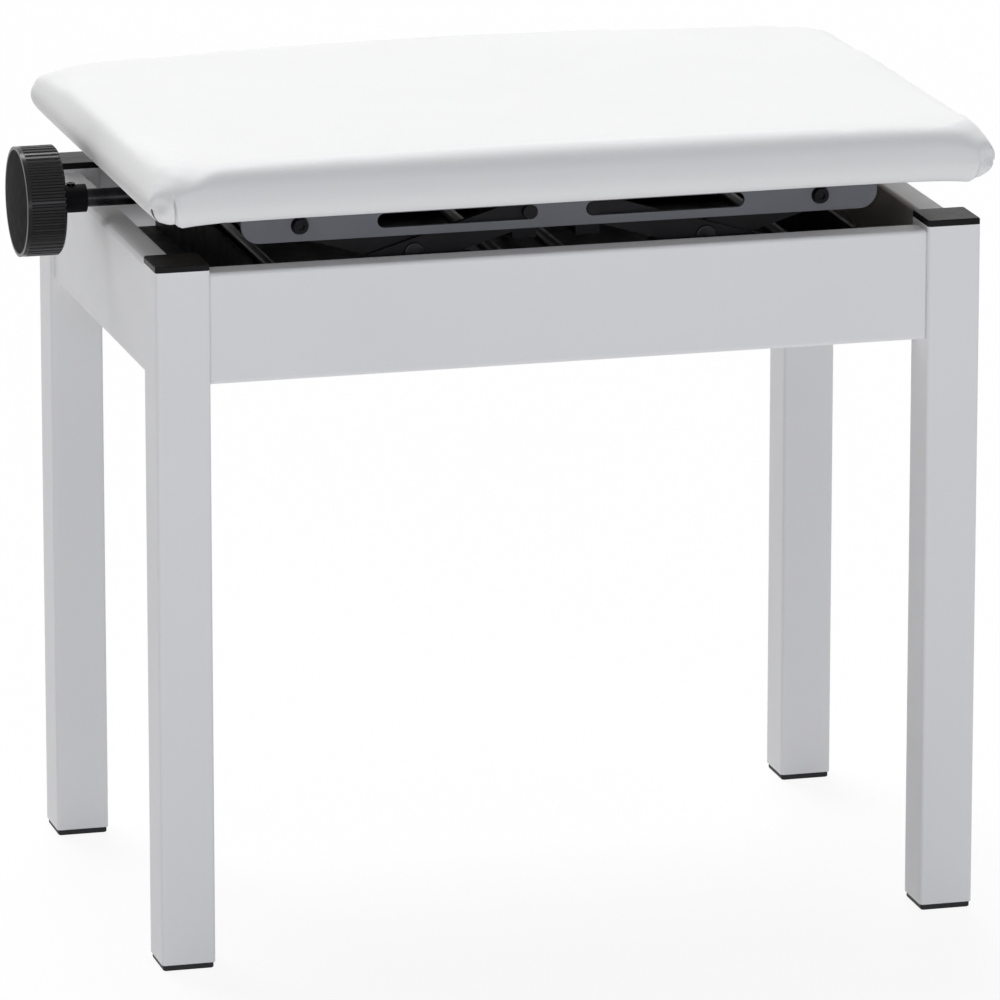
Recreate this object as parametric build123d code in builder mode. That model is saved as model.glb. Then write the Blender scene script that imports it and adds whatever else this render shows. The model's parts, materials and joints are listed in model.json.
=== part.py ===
from build123d import *
from math import atan2, degrees, sqrt
import os

os.makedirs("parts", exist_ok=True)

# Sizes in millimetres. X runs along the bench with the knob at the -X end, Y runs from
# the front to the back and Z is up. The origin is on the floor, in the middle of the
# bench's overall outline with the knob counted in. The seat is at its lowest.

# Legs with their plastic caps and feet
base_width = 479.0
base_depth = 307.0
leg_side = 31.0
leg_wall = 1.5
leg_corner = 2.0
leg_length = 400.4
cap_height = 3.6
cap_bevel = 0.6
foot_height = 3.6
foot_inset = 0.8
foot_round = 1.0
plug_depth = 16.0
plug_wall = 1.8
plug_clearance = 0.15

# Rails between the legs
rail_height = 63.5
rail_drop = 2.3
rail_depth = 18.0
rail_setback = 2.5
rail_wall = 1.5
rail_corner = 2.5
rail_end_bevel = 0.9
weld_size = 3.0

# Scissor lift: pivots are fixed at the outer ends of the arms and slide at the inner ends
lift_side_gap = 3.0
pivot_inset = 33.5
slide_inner_x = 18.5
slide_travel = 84.0
pivot_drop = 20.7
arm_width = 16.0
arm_headroom = 0.7
arm_thickness = 3.0
layer_gap = 0.5
pin_size = 8.0
pin_clearance = 0.1
slot_clearance = 0.15
slot_end_room = 0.3
pin_head_size = 12.0
pin_head_height = 1.6
spacer_size = 12.0

# Steel sheet of both lift frames
sheet = 2.5
bend_inside = 1.0

# Lower frame and the angles that carry it
tray_end_gap = 42.0
tray_below_pivot = 15.0
tray_above_pivot = 11.0
tray_seam = 0.6
tray_end_above_pivot = 17.0
tray_ear_inset = 2.0
tray_ear_gap = 2.0
angle_length = 180.0
angle_ledge = 26.0
angle_height = 20.0
mount_bolt_size = 6.0
mount_bolt_tail = 3.0
mount_bolt_spacing = 130.0
mount_head_size = 11.0
mount_head_height = 3.5
mount_head_round = 1.2
hole_clearance = 0.2

# Upper frame under the seat
upper_end_gap = 34.0
upper_below_pivot = 9.0
upper_flange = 26.0
upper_corner = 10.0
end_tongue_width = 44.0
end_tongue_below_screw = 12.0
pivot_head_size = 10.4
pivot_head_height = 3.2
pivot_head_taper = 18.0
pivot_socket_size = 4.0
pivot_socket_depth = 1.8
pivot_nut_size = 13.0
pivot_nut_height = 6.0

# Drive screw, nuts and knob
screw_drop = 6.6
screw_size = 12.0
screw_run_out = 11.5
screw_neck_size = 9.0
screw_neck_length = 12.0
shaft_size = 10.4
shaft_over_rail = 7.5
shaft_end = 8.0
shaft_bevel = 1.0
bush_body = 16.0
bush_flange = 22.0
bush_flange_height = 2.0
bush_length = 9.0
collar_size = 20.0
collar_length = 8.0
nut_bar_width = 14.0
nut_bar_height = 22.0
nut_bar_wall = 2.0
nut_bar_end = 6.0
nut_bar_middle = 34.0
nut_body = 16.0
nut_flange = 20.0
nut_flange_height = 5.0
pin_shoulder = 11.0
pin_proud = 0.5
knob_gap = 22.5
knob_width = 24.0
knob_radius = 31.4
knob_dome = 1.2
knob_rim = 1.2
knob_ribs = 54
knob_groove = 1.1
knob_wall = 6.0
hub_size = 16.0
hub_length = 17.0
set_screw_size = 5.0
set_screw_proud = 1.2

# Seat
seat_end_overhang = 6.7
seat_side_overhang = 12.2
seat_shift = 2.0
seat_height = 36.0
seat_crown_radius = 5000.0
seat_shoulder = 3.0
seat_draw = 9.5
cover_thickness = 1.2
flap_gap = 2.0
foam_gap = 0.3
foam_skirt = 1.6
board_thickness = 12.0
board_corner = 8.0
wood_screw_size = 4.0
wood_screw_cover = 2.0
wood_screw_head = 8.0
wood_screw_head_height = 2.0
wood_screw_head_taper = 15.0
wood_screw_inner_span = 110.0
wood_screw_end_gap = 15.0
staple_width = 10.0
staple_wire = 1.0
staple_leg = 6.0
staple_spacing = 58.0

# Outline of the seat at several levels: height, how far its ends and its sides are drawn
# in, corner radius. The low levels are measured up from its underside, the high ones down
# from its crown.
seat_low_levels = (
    (0.0, seat_draw, seat_draw, 6.0),
    (4.0, 3.6, 3.6, 8.0),
    (12.5, 0.0, 0.0, 13.5),
)
seat_high_levels = (
    (15.5, 3.0, 1.0, 17.0),
    (9.5, 6.2, 2.9, 25.0),
    (4.5, 9.6, 8.5, 34.0),
    (-3.0, 17.0, 22.0, 36.0),
)

# Heights and positions that follow from the sizes above
leg_top = foot_height + leg_length
rail_top = leg_top - rail_drop
rail_middle_z = rail_top - rail_height / 2
rail_face_x = base_width / 2 - rail_setback - rail_depth
rail_face_y = base_depth / 2 - rail_setback - rail_depth
leg_x = (base_width - leg_side) / 2
leg_y = (base_depth - leg_side) / 2
leg_face_x = base_width / 2 - leg_side
leg_face_y = base_depth / 2 - leg_side
leg_bore = leg_side - 2 * leg_wall
leg_bore_corner = max(leg_corner - leg_wall, 0.5)
upper_length = 2 * (rail_face_x - upper_end_gap)
tray_length = 2 * (rail_face_x - tray_end_gap)
pivot_x = upper_length / 2 - pivot_inset
slide_x = slide_inner_x
cross_x = (pivot_x + slide_x) / 2
screw_z = rail_top + shaft_over_rail + shaft_size / 2
upper_pivot_z = screw_z + screw_drop
lower_pivot_z = rail_top - pivot_drop
cross_z = (lower_pivot_z + upper_pivot_z) / 2
arm_reach = pivot_x - slide_x
lift_lowest = upper_pivot_z - lower_pivot_z
arm_length = sqrt(arm_reach**2 + lift_lowest**2)
arm_slope = degrees(atan2(lift_lowest, arm_reach))
slot_height = pin_size + 2 * slot_clearance
slot_middle_x = slide_x + slide_travel / 2
slot_centres = slide_travel + 2 * slot_end_room
upper_face = rail_face_y - lift_side_gap
lift_arm_face = upper_face - sheet - layer_gap
cross_arm_face = lift_arm_face - arm_thickness - layer_gap
tray_face = cross_arm_face - arm_thickness - layer_gap
tray_flange = tray_face - tray_seam / 2
tray_z = lower_pivot_z - tray_below_pivot
tray_top = lower_pivot_z + tray_above_pivot
tray_end_top = lower_pivot_z + tray_end_above_pivot
board_z = upper_pivot_z + arm_width / 2 + arm_headroom + sheet
upper_edge_z = upper_pivot_z - upper_below_pivot
end_edge_z = upper_edge_z + upper_corner
seat_z = board_z - cover_thickness
crown_z = seat_z + seat_height
mount_x = rail_face_x - (angle_ledge + sheet) / 2
bend_outside = bend_inside + sheet
seat_width = base_width + 2 * seat_end_overhang
seat_depth = base_depth + 2 * seat_side_overhang
screw_half_length = slide_x + slide_travel + nut_bar_width / 2 + nut_flange_height + screw_run_out
knob_back_x = -base_width / 2 - knob_gap
knob_face_x = knob_back_x - knob_width
hub_end_x = knob_back_x + hub_length
centre_x = (-knob_face_x - seat_width / 2 - seat_shift) / 2
seat_x = centre_x + seat_shift

corners = {
    "front_left": (-1, -1),
    "front_right": (1, -1),
    "rear_left": (-1, 1),
    "rear_right": (1, 1),
}
sides = {"front": -1, "rear": 1}
ends = {"left": -1, "right": 1}


def level(z):
    return Plane(origin=(centre_x, 0, z))


def upright(y):
    return Plane(origin=(centre_x, y, 0), x_dir=(1, 0, 0), z_dir=(0, -1, 0))


def crosswise(x):
    return Plane(origin=(centre_x + x, 0, 0), x_dir=(0, 1, 0), z_dir=(1, 0, 0))


def save(piece, name):
    piece.part.label = name
    export_step(piece.part, f"parts/{name}.step")


# Legs, caps and feet
for corner, (across, along) in corners.items():
    spot = (across * leg_x, along * leg_y)
    with BuildPart() as leg:
        with BuildSketch(level(foot_height)):
            with Locations(spot):
                RectangleRounded(leg_side, leg_side, leg_corner)
                RectangleRounded(leg_bore, leg_bore, leg_bore_corner, mode=Mode.SUBTRACT)
        extrude(amount=leg_length)
    save(leg, f"leg_{corner}")

    plug_side = leg_bore - 2 * plug_clearance
    plug_inside = plug_side - 2 * plug_wall
    with BuildPart() as cap:
        with BuildSketch(level(leg_top)):
            with Locations(spot):
                RectangleRounded(leg_side, leg_side, leg_corner)
        extrude(amount=cap_height)
        chamfer(cap.faces().sort_by(Axis.Z)[-1].edges(), cap_bevel)
        with BuildSketch(level(leg_top)):
            with Locations(spot):
                RectangleRounded(plug_side, plug_side, leg_bore_corner)
                Rectangle(plug_inside, plug_inside, mode=Mode.SUBTRACT)
        extrude(amount=-plug_depth)
    save(cap, f"leg_cap_{corner}")

    foot_side = leg_side - 2 * foot_inset
    with BuildPart() as foot:
        with BuildSketch(level(0)):
            with Locations(spot):
                RectangleRounded(foot_side, foot_side, leg_corner)
        extrude(amount=foot_height)
        fillet(foot.faces().sort_by(Axis.Z)[0].edges(), foot_round)
        with BuildSketch(level(foot_height)):
            with Locations(spot):
                RectangleRounded(plug_side, plug_side, leg_bore_corner)
                Rectangle(plug_inside, plug_inside, mode=Mode.SUBTRACT)
        extrude(amount=plug_depth)
    save(foot, f"foot_{corner}")

# Rails, rectangular tubes that butt against the legs
rail_bore = (rail_depth - 2 * rail_wall, rail_height - 2 * rail_wall)
for side, along in sides.items():
    with BuildPart() as rail:
        with BuildSketch(crosswise(-leg_face_x)):
            with Locations((along * (rail_face_y + rail_depth / 2), rail_middle_z)):
                RectangleRounded(rail_depth, rail_height, rail_corner)
        extrude(amount=2 * leg_face_x)
        chamfer(rail.faces().group_by(Axis.X)[0].edges(), rail_end_bevel)
        chamfer(rail.faces().group_by(Axis.X)[-1].edges(), rail_end_bevel)
        with BuildSketch(crosswise(-leg_face_x)):
            with Locations((along * (rail_face_y + rail_depth / 2), rail_middle_z)):
                RectangleRounded(*rail_bore, rail_corner - rail_wall)
        extrude(amount=2 * leg_face_x, mode=Mode.SUBTRACT)
    save(rail, f"{side}_rail")

for end, across in ends.items():
    with BuildPart() as rail:
        with BuildSketch(upright(leg_face_y)):
            with Locations((across * (rail_face_x + rail_depth / 2), rail_middle_z)):
                RectangleRounded(rail_depth, rail_height, rail_corner)
                RectangleRounded(*rail_bore, rail_corner - rail_wall, mode=Mode.SUBTRACT)
        extrude(amount=2 * leg_face_y)
    save(rail, f"{end}_rail")

# Weld beads in the inner corners between each leg and its two rails
with BuildPart() as weld_beads:
    with BuildSketch(level(rail_top - rail_height + rail_corner)):
        for across, along in corners.values():
            for root_x, root_y in ((leg_face_x, rail_face_y), (rail_face_x, leg_face_y)):
                with BuildLine():
                    Polyline(
                        (across * root_x, along * root_y),
                        (across * (root_x - weld_size), along * root_y),
                        (across * root_x, along * (root_y - weld_size)),
                        close=True,
                    )
                make_face()
    extrude(amount=rail_height - 2 * rail_corner)
save(weld_beads, "weld_beads")

# Angles welded to the side rails, which carry the lower frame
for end, across in ends.items():
    with BuildPart() as support_angle:
        with BuildSketch(upright(angle_length / 2)) as angle_section:
            with BuildLine():
                Polyline(
                    (across * rail_face_x, tray_z),
                    (across * rail_face_x, tray_z - angle_height),
                    (across * (rail_face_x - sheet), tray_z - angle_height),
                    (across * (rail_face_x - sheet), tray_z - sheet),
                    (across * (rail_face_x - angle_ledge), tray_z - sheet),
                    (across * (rail_face_x - angle_ledge), tray_z),
                    close=True,
                )
            make_face()
            bend = angle_section.vertices().sort_by_distance((across * rail_face_x, tray_z))
            fillet(bend[0], bend_outside)
        extrude(amount=angle_length)
        with BuildSketch(level(tray_z)):
            with Locations((across * mount_x, 0)):
                with GridLocations(0, mount_bolt_spacing, 1, 2):
                    Circle(mount_bolt_size / 2 + pin_clearance)
        extrude(amount=-sheet, mode=Mode.SUBTRACT)
    save(support_angle, f"support_angle_{end}")

# Lower frame: slotted plates along the front and the rear
for side, along in sides.items():
    with BuildPart() as lower_plate:
        with BuildSketch(crosswise(-tray_length / 2 + sheet)) as plate_section:
            with BuildLine():
                Polyline(
                    (along * tray_face, tray_top),
                    (along * tray_face, tray_z),
                    (along * (tray_face - tray_flange), tray_z),
                    (along * (tray_face - tray_flange), tray_z + sheet),
                    (along * (tray_face - sheet), tray_z + sheet),
                    (along * (tray_face - sheet), tray_top),
                    close=True,
                )
            make_face()
            bend = plate_section.vertices().sort_by_distance((along * tray_face, tray_z))
            fillet(bend[0], bend_outside)
        extrude(amount=tray_length - 2 * sheet)
        with BuildSketch(upright(along * tray_face)):
            with Locations((-slot_middle_x, lower_pivot_z), (slot_middle_x, lower_pivot_z)):
                SlotCenterToCenter(slot_centres, slot_height)
            with Locations((-pivot_x, lower_pivot_z), (pivot_x, lower_pivot_z)):
                Circle(pin_size / 2 + pin_clearance)
        extrude(amount=sheet, both=True, mode=Mode.SUBTRACT)
    save(lower_plate, f"lower_{side}_plate")

# Lower frame: end plates with an ear that lies on the support angle
for end, across in ends.items():
    with BuildPart() as lower_end:
        with BuildSketch(crosswise(across * tray_length / 2)):
            with Locations((0, (tray_z + tray_end_top) / 2)):
                Rectangle(2 * tray_face, tray_end_top - tray_z)
        extrude(amount=-across * sheet)
        top_corners = lower_end.edges().filter_by(Axis.X).group_by(Axis.Z)[-1]
        fillet(top_corners, bend_outside)
        ear_width = rail_face_x - tray_ear_gap - tray_length / 2
        with BuildSketch(level(tray_z)):
            with Locations((across * (tray_length / 2 + ear_width / 2), 0)):
                Rectangle(ear_width, 2 * (tray_face - tray_ear_inset))
            with Locations((across * mount_x, 0)):
                with GridLocations(0, mount_bolt_spacing, 1, 2):
                    Circle(mount_bolt_size / 2 + hole_clearance, mode=Mode.SUBTRACT)
        extrude(amount=sheet)
    save(lower_end, f"lower_{end}_plate")

# Bolts through the ears, threaded into the support angles
mount_spots = [
    (across * mount_x, along * mount_bolt_spacing / 2) for across, along in corners.values()
]
with BuildPart() as mount_bolts:
    with BuildSketch(level(tray_z + sheet)):
        with Locations(*mount_spots):
            Circle(mount_head_size / 2)
    extrude(amount=mount_head_height)
    fillet(mount_bolts.faces().group_by(Axis.Z)[-1].edges(), mount_head_round)
    with BuildSketch(level(tray_z + sheet)):
        with Locations(*mount_spots):
            Circle(mount_bolt_size / 2)
    extrude(amount=-2 * sheet - mount_bolt_tail)
save(mount_bolts, "mount_bolts")

# Pivot rods through the lower frame, headed outside the lift arms
for end, across in ends.items():
    with BuildPart() as pivot_rod:
        with BuildSketch(upright(0)):
            with Locations((across * pivot_x, lower_pivot_z)):
                Circle(pin_size / 2)
        extrude(amount=lift_arm_face + layer_gap, both=True)
        for along in sides.values():
            with BuildSketch(upright(along * (lift_arm_face + layer_gap))):
                with Locations((across * pivot_x, lower_pivot_z)):
                    Circle(pin_head_size / 2)
            extrude(amount=-along * pin_head_height)
        for head in (pivot_rod.faces().sort_by(Axis.Y)[0], pivot_rod.faces().sort_by(Axis.Y)[-1]):
            fillet(head.edges(), pin_head_height / 2)
    save(pivot_rod, f"lower_pivot_rod_{end}")

lower_spacer_length = lift_arm_face - arm_thickness - tray_face
with BuildPart() as lower_spacers:
    for along in sides.values():
        with BuildSketch(upright(along * tray_face)):
            with Locations((-pivot_x, lower_pivot_z), (pivot_x, lower_pivot_z)):
                Circle(spacer_size / 2)
                Circle(pin_size / 2 + pin_clearance, mode=Mode.SUBTRACT)
        extrude(amount=-along * (lower_spacer_length - layer_gap / 2))
save(lower_spacers, "lower_spacers")

# Scissor arms: lift arms turn on the lower frame and slide in the upper one, cross arms
# turn on the upper frame and slide in the lower one
for end, across in ends.items():
    for side, along in sides.items():
        with BuildPart() as lift_arm:
            with BuildSketch(upright(along * lift_arm_face)):
                with Locations((across * cross_x, cross_z)):
                    SlotCenterToCenter(arm_length, arm_width, rotation=-across * arm_slope)
                with Locations(
                    (across * pivot_x, lower_pivot_z),
                    (across * cross_x, cross_z),
                    (across * slide_x, upper_pivot_z),
                ):
                    Circle(pin_size / 2 + pin_clearance, mode=Mode.SUBTRACT)
            extrude(amount=along * arm_thickness)
        save(lift_arm, f"{end}_lift_arm_{side}")

        with BuildPart() as cross_arm:
            with BuildSketch(upright(along * cross_arm_face)):
                with Locations((across * cross_x, cross_z)):
                    SlotCenterToCenter(arm_length, arm_width, rotation=across * arm_slope)
                with Locations(
                    (across * pivot_x, upper_pivot_z),
                    (across * cross_x, cross_z),
                    (across * slide_x, lower_pivot_z),
                ):
                    Circle(pin_size / 2 + pin_clearance, mode=Mode.SUBTRACT)
            extrude(amount=along * arm_thickness)
        save(cross_arm, f"{end}_cross_arm_{side}")

    # Rivets where the arms cross
    with BuildPart() as centre_rivets:
        for along in sides.values():
            with BuildSketch(upright(along * lift_arm_face)):
                with Locations((across * cross_x, cross_z)):
                    Circle(pin_size / 2)
            extrude(amount=along * (lift_arm_face - tray_face))
            with BuildSketch(upright(along * lift_arm_face)):
                with Locations((across * cross_x, cross_z)):
                    Circle(pin_head_size / 2)
            extrude(amount=-along * pin_head_height)
            with BuildSketch(upright(along * tray_face)):
                with Locations((across * cross_x, cross_z)):
                    Circle(pin_head_size / 2)
            extrude(amount=along * pin_head_height)
        fillet(centre_rivets.faces().sort_by(Axis.Y)[0].edges(), pin_head_height / 2)
        fillet(centre_rivets.faces().sort_by(Axis.Y)[-1].edges(), pin_head_height / 2)
    save(centre_rivets, f"{end}_centre_rivets")

    # Rod through the lower ends of the cross arms, which slides in the lower frame
    with BuildPart() as slide_rod:
        with BuildSketch(upright(0)):
            with Locations((across * slide_x, lower_pivot_z)):
                Circle(pin_size / 2)
        extrude(amount=cross_arm_face, both=True)
        for along in sides.values():
            with BuildSketch(upright(along * cross_arm_face)):
                with Locations((across * slide_x, lower_pivot_z)):
                    Circle(pin_head_size / 2)
            extrude(amount=-along * pin_head_height)
        for head in (slide_rod.faces().sort_by(Axis.Y)[0], slide_rod.faces().sort_by(Axis.Y)[-1]):
            fillet(head.edges(), pin_head_height / 2)
    save(slide_rod, f"{end}_slide_rod")

# Upper frame: slotted plates along the front and the rear, screwed up under the board
wood_screw_y = (tray_face + upper_face - upper_flange) / 2
wood_screw_spots = [
    (across * wood_screw_x, along * wood_screw_y)
    for across, along in corners.values()
    for wood_screw_x in (wood_screw_inner_span / 2, upper_length / 2 - wood_screw_end_gap)
]
for side, along in sides.items():
    with BuildPart() as upper_plate:
        with BuildSketch(crosswise(-upper_length / 2)) as plate_section:
            with BuildLine():
                Polyline(
                    (along * upper_face, upper_edge_z),
                    (along * upper_face, board_z),
                    (along * (upper_face - upper_flange), board_z),
                    (along * (upper_face - upper_flange), board_z - sheet),
                    (along * (upper_face - sheet), board_z - sheet),
                    (along * (upper_face - sheet), upper_edge_z),
                    close=True,
                )
            make_face()
            bend = plate_section.vertices().sort_by_distance((along * upper_face, board_z))
            fillet(bend[0], bend_outside)
        extrude(amount=upper_length)
        lower_corners = upper_plate.edges().filter_by(Axis.Y).group_by(Axis.Z)[0]
        fillet(lower_corners, upper_corner)
        with BuildSketch(upright(along * upper_face)):
            with Locations((-slot_middle_x, upper_pivot_z), (slot_middle_x, upper_pivot_z)):
                SlotCenterToCenter(slot_centres, slot_height)
            with Locations((-pivot_x, upper_pivot_z), (pivot_x, upper_pivot_z)):
                Circle(pin_size / 2 + pin_clearance)
        extrude(amount=sheet, both=True, mode=Mode.SUBTRACT)
        with BuildSketch(level(board_z)):
            with Locations(*wood_screw_spots):
                Circle(wood_screw_size / 2 + hole_clearance)
        extrude(amount=-sheet, mode=Mode.SUBTRACT)
    save(upper_plate, f"upper_{side}_plate")

# Upper frame: end plates with a tongue that holds the screw's bush
for end, across in ends.items():
    with BuildPart() as upper_end:
        with BuildSketch(crosswise(across * upper_length / 2)):
            with Locations((0, (end_edge_z + board_z - sheet) / 2)):
                Rectangle(2 * (upper_face - sheet), board_z - sheet - end_edge_z)
            with Locations((0, (screw_z - end_tongue_below_screw + end_edge_z) / 2)):
                Rectangle(end_tongue_width, end_edge_z - screw_z + end_tongue_below_screw)
            with Locations((0, screw_z)):
                Circle(bush_body / 2 + pin_clearance, mode=Mode.SUBTRACT)
        extrude(amount=-across * sheet)
        tongue_corners = upper_end.edges().filter_by(Axis.X).group_by(Axis.Z)[0]
        fillet(tongue_corners, bend_outside)
        with BuildSketch(level(board_z)):
            with Locations((across * (upper_length - upper_flange) / 2, 0)):
                Rectangle(upper_flange, 2 * (upper_face - upper_flange - layer_gap))
        extrude(amount=-sheet)
    save(upper_end, f"upper_{end}_plate")

with BuildPart() as bearing_bushes:
    for across in ends.values():
        inside_x = across * (upper_length / 2 - sheet)
        with BuildSketch(crosswise(inside_x)):
            with Locations((0, screw_z)):
                Circle(bush_flange / 2)
        extrude(amount=-across * bush_flange_height)
        with BuildSketch(crosswise(inside_x)):
            with Locations((0, screw_z)):
                Circle(bush_body / 2)
        extrude(amount=across * (bush_length - bush_flange_height))
        with BuildSketch(crosswise(inside_x)):
            with Locations((0, screw_z)):
                Circle(shaft_size / 2 + pin_clearance)
        extrude(amount=bush_length, both=True, mode=Mode.SUBTRACT)
save(bearing_bushes, "bearing_bushes")

# Pivots of the cross arms on the upper frame
pivot_spots = [(-pivot_x, upper_pivot_z), (pivot_x, upper_pivot_z)]
nut_face = cross_arm_face - arm_thickness - layer_gap
with BuildPart() as upper_pivot_bolts:
    for along in sides.values():
        with BuildSketch(upright(along * upper_face)):
            with Locations(*pivot_spots):
                Circle(pivot_head_size / 2)
        extrude(amount=-along * pivot_head_height, taper=pivot_head_taper)
        with BuildSketch(upright(along * (upper_face + pivot_head_height))):
            with Locations(*pivot_spots):
                RegularPolygon(pivot_socket_size / 2, 6, major_radius=False)
        extrude(amount=along * pivot_socket_depth, mode=Mode.SUBTRACT)
        with BuildSketch(upright(along * upper_face)):
            with Locations(*pivot_spots):
                Circle(pin_size / 2)
        extrude(amount=along * (upper_face - nut_face + pivot_nut_height + layer_gap))
save(upper_pivot_bolts, "upper_pivot_bolts")

upper_spacer_length = upper_face - sheet - cross_arm_face
with BuildPart() as upper_spacers:
    for along in sides.values():
        with BuildSketch(upright(along * (upper_face - sheet))):
            with Locations(*pivot_spots):
                Circle(spacer_size / 2)
                Circle(pin_size / 2 + pin_clearance, mode=Mode.SUBTRACT)
        extrude(amount=along * (upper_spacer_length - layer_gap / 2))
save(upper_spacers, "upper_spacers")

with BuildPart() as upper_pivot_nuts:
    for along in sides.values():
        with BuildSketch(upright(along * nut_face)):
            with Locations(*pivot_spots):
                RegularPolygon(pivot_nut_size / 2, 6, major_radius=False)
                Circle(pin_size / 2 + pin_clearance, mode=Mode.SUBTRACT)
        extrude(amount=along * pivot_nut_height)
save(upper_pivot_nuts, "upper_pivot_nuts")

# Nut bars: channels across the lift, open below, with pins through the lift arms and slots
bar_end_y = tray_face - sheet - layer_gap
shoulder_y = lift_arm_face - arm_thickness - layer_gap / 2
for end, across in ends.items():
    with BuildPart() as nut_bar:
        with BuildSketch(crosswise(across * slide_x)):
            with Locations((0, screw_z)):
                Rectangle(2 * bar_end_y, nut_bar_height)
        extrude(amount=nut_bar_width / 2, both=True)
        cavity = bar_end_y - nut_bar_end - nut_bar_middle / 2
        with BuildSketch(level(screw_z - nut_bar_height / 2)):
            for along in sides.values():
                with Locations((across * slide_x, along * (nut_bar_middle + cavity) / 2)):
                    Rectangle(nut_bar_width - 2 * nut_bar_wall, cavity)
        extrude(amount=nut_bar_height - nut_bar_wall, mode=Mode.SUBTRACT)
        for along in sides.values():
            with BuildSketch(upright(along * bar_end_y)):
                with Locations((across * slide_x, upper_pivot_z)):
                    Circle(pin_shoulder / 2)
            extrude(amount=-along * (shoulder_y - bar_end_y))
            with BuildSketch(upright(along * shoulder_y)):
                with Locations((across * slide_x, upper_pivot_z)):
                    Circle(pin_size / 2)
            extrude(amount=-along * (upper_face + pin_proud - shoulder_y))
        with BuildSketch(crosswise(across * slide_x)):
            with Locations((0, screw_z)):
                Circle(nut_body / 2 + pin_clearance)
        extrude(amount=nut_bar_width, both=True, mode=Mode.SUBTRACT)
    save(nut_bar, f"{end}_nut_bar")

    with BuildPart() as drive_nut:
        with BuildSketch(crosswise(across * (slide_x - nut_bar_width / 2))):
            with Locations((0, screw_z)):
                Circle(nut_body / 2)
        extrude(amount=across * nut_bar_width)
        with BuildSketch(crosswise(across * (slide_x + nut_bar_width / 2))):
            with Locations((0, screw_z)):
                RegularPolygon(nut_flange / 2, 6, major_radius=False)
        extrude(amount=across * nut_flange_height)
        with BuildSketch(crosswise(across * slide_x)):
            with Locations((0, screw_z)):
                Circle(screw_size / 2 + pin_clearance)
        extrude(amount=nut_bar_width + nut_flange_height, both=True, mode=Mode.SUBTRACT)
    save(drive_nut, f"{end}_drive_nut")

# Drive screw: its halves carry opposite threads, and its left end reaches out to the knob
bore_end_x = knob_face_x + knob_wall
screw_right_x = upper_length / 2 + shaft_end
with BuildPart() as drive_screw:
    with BuildSketch(crosswise(bore_end_x)):
        with Locations((0, screw_z)):
            Circle(shaft_size / 2)
    extrude(amount=-screw_half_length - bore_end_x)
    with BuildSketch(crosswise(screw_half_length)):
        with Locations((0, screw_z)):
            Circle(shaft_size / 2)
    extrude(amount=screw_right_x - screw_half_length)
    chamfer(drive_screw.faces().sort_by(Axis.X)[-1].edges(), shaft_bevel)
    for across in ends.values():
        with BuildSketch(crosswise(across * screw_neck_length / 2)):
            with Locations((0, screw_z)):
                Circle(screw_size / 2)
        extrude(amount=across * (screw_half_length - screw_neck_length / 2))
    with BuildSketch(crosswise(0)):
        with Locations((0, screw_z)):
            Circle(screw_neck_size / 2)
    extrude(amount=screw_neck_length / 2, both=True)
save(drive_screw, "drive_screw")

with BuildPart() as thrust_collars:
    for across in ends.values():
        collar_x = upper_length / 2 - sheet - bush_flange_height - layer_gap
        with BuildSketch(crosswise(across * collar_x)):
            with Locations((0, screw_z)):
                Circle(collar_size / 2)
                Circle(shaft_size / 2 + pin_clearance, mode=Mode.SUBTRACT)
        extrude(amount=-across * collar_length)
save(thrust_collars, "thrust_collars")

# Knob with a domed face, ribs around its rim and a hub on the shaft
set_screw_x = (knob_back_x + hub_end_x) / 2
dome_radius = (knob_radius**2 + knob_dome**2) / (2 * knob_dome)
with BuildPart() as knob:
    with BuildSketch(crosswise(knob_back_x)):
        with Locations((0, screw_z)):
            Circle(knob_radius)
    extrude(amount=-knob_width)
    with Locations((centre_x + knob_face_x + dome_radius, 0, screw_z)):
        Sphere(dome_radius, mode=Mode.INTERSECT)
    chamfer(knob.edges().filter_by(GeomType.CIRCLE), knob_rim)
    with BuildSketch(crosswise(knob_back_x)):
        with Locations((0, screw_z)):
            with PolarLocations(knob_radius + knob_groove / 4, knob_ribs):
                Circle(knob_groove)
    extrude(amount=-knob_width + knob_dome + 2 * knob_rim, mode=Mode.SUBTRACT)
    with BuildSketch(crosswise(knob_back_x)):
        with Locations((0, screw_z)):
            Circle(hub_size / 2)
    extrude(amount=hub_length)
    with BuildSketch(crosswise(hub_end_x)):
        with Locations((0, screw_z)):
            Circle(shaft_size / 2 + pin_clearance)
    extrude(amount=bore_end_x - hub_end_x, mode=Mode.SUBTRACT)
    with BuildSketch(level(screw_z + shaft_size / 2)):
        with Locations((set_screw_x, 0)):
            Circle(set_screw_size / 2 + pin_clearance)
    extrude(amount=hub_size / 2, mode=Mode.SUBTRACT)
save(knob, "knob")

with BuildPart() as knob_set_screw:
    with BuildSketch(level(screw_z + shaft_size / 2)):
        with Locations((set_screw_x, 0)):
            Circle(set_screw_size / 2)
    extrude(amount=(hub_size - shaft_size) / 2 + set_screw_proud)
    with BuildSketch(level(screw_z + hub_size / 2 + set_screw_proud)):
        with Locations((set_screw_x, 0)):
            RegularPolygon(set_screw_size / 4, 6, major_radius=False)
    extrude(amount=-set_screw_proud, mode=Mode.SUBTRACT)
save(knob_set_screw, "knob_set_screw")


# Seat: a crowned pad whose sides swell out and are drawn in under the board
seat_outline = [(seat_z + height, *shape) for height, *shape in seat_low_levels]
seat_outline += [(crown_z - depth, *shape) for depth, *shape in seat_high_levels]


def seat_level(z):
    return Plane(origin=(seat_x, 0, z))


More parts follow.
